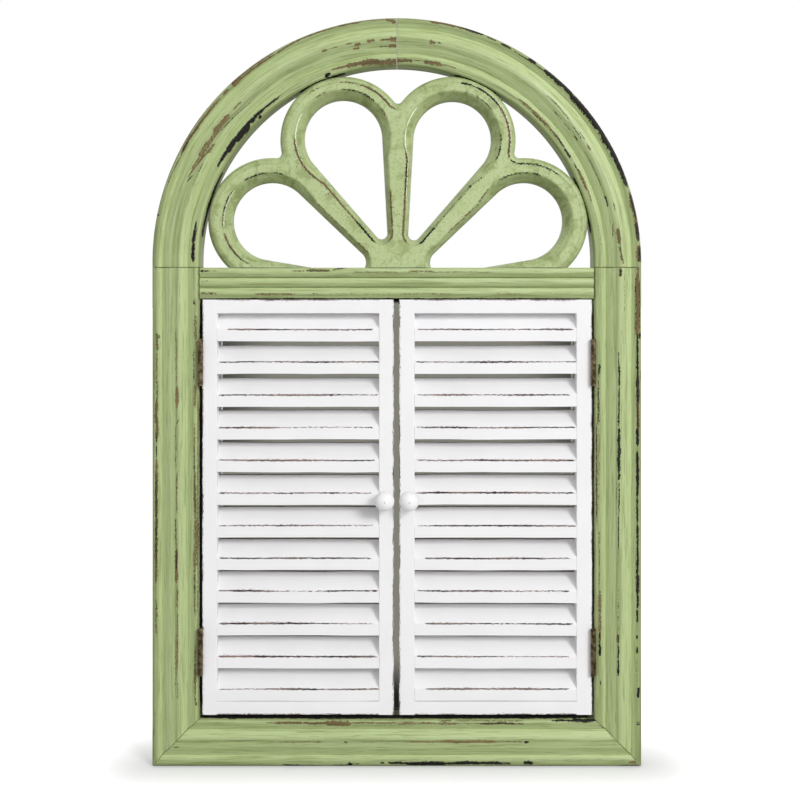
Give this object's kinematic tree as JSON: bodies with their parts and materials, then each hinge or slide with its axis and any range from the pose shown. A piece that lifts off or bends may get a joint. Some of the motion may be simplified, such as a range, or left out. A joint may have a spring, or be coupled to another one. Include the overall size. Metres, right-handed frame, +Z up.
{
  "type": "shutter mirror",
  "caption": "Arched wooden wall mirror with a fretwork fan over a pair of slatted shutter doors, which swing open on butt hinges to show the glass.",
  "frame": {"origin": "middle of the bottom edge, half way through the frame's depth without the knobs", "axes": "+Z up along the frame, +X to the viewer's right, -Y out of the front towards the viewer, +Y to the wall"},
  "size_m": [0.5, 0.0475, 0.7646],
  "materials": {
    "green_paint": "worn matt sage green paint over brown stain on wood",
    "white_paint": "worn satin white paint on wood",
    "dark_bronze": "dark bronzed steel, rubbed on the barrels",
    "steel": "plain zinc plated steel",
    "mirror": "silvered float glass",
    "hardboard": "smooth brown hardboard"
  },
  "bodies": {
    "frame": {"arch_left": "green_paint", "arch_right": "green_paint", "backing_board": "hardboard", "frame_bottom_rail": "green_paint", "frame_stile_left": "green_paint", "frame_stile_right": "green_paint", "fretwork": "green_paint", "hanger_plate_left": "steel", "hanger_plate_right": "steel", "left_frame_leaf_lower": "dark_bronze", "left_frame_leaf_upper": "dark_bronze", "left_hinge_pin_lower": "dark_bronze", "left_hinge_pin_upper": "dark_bronze", "mirror_glass": "mirror", "right_frame_leaf_lower": "dark_bronze", "right_frame_leaf_upper": "dark_bronze", "right_hinge_pin_lower": "dark_bronze", "right_hinge_pin_upper": "dark_bronze", "transom_rail": "green_paint"},
    "left_door": {"left_bottom_rail": "white_paint", "left_door_leaf_lower": "dark_bronze", "left_door_leaf_upper": "dark_bronze", "left_hinge_stile": "white_paint", "left_knob": "white_paint", "left_knob_screw": "steel", "left_meeting_stile": "white_paint", "left_slat_01": "white_paint", "left_slat_02": "white_paint", "left_slat_03": "white_paint", "left_slat_04": "white_paint", "left_slat_05": "white_paint", "left_slat_06": "white_paint", "left_slat_07": "white_paint", "left_slat_08": "white_paint", "left_slat_09": "white_paint", "left_slat_10": "white_paint", "left_slat_11": "white_paint", "left_slat_12": "white_paint", "left_top_rail": "white_paint"},
    "right_door": {"right_bottom_rail": "white_paint", "right_door_leaf_lower": "dark_bronze", "right_door_leaf_upper": "dark_bronze", "right_hinge_stile": "white_paint", "right_knob": "white_paint", "right_knob_screw": "steel", "right_meeting_stile": "white_paint", "right_slat_01": "white_paint", "right_slat_02": "white_paint", "right_slat_03": "white_paint", "right_slat_04": "white_paint", "right_slat_05": "white_paint", "right_slat_06": "white_paint", "right_slat_07": "white_paint", "right_slat_08": "white_paint", "right_slat_09": "white_paint", "right_slat_10": "white_paint", "right_slat_11": "white_paint", "right_slat_12": "white_paint", "right_top_rail": "white_paint"}
  },
  "joints": [
    {"name": "left_door_hinge", "type": "hinge", "parent": "frame", "child": "left_door", "pos_m": [-0.1997, -0.01355, 0.2646], "axis": [0, 0, -1], "range_deg": [0, 180]},
    {"name": "right_door_hinge", "type": "hinge", "parent": "frame", "child": "right_door", "pos_m": [0.1997, -0.01355, 0.2646], "axis": [0, 0, 1], "range_deg": [0, 180]}
  ]
}
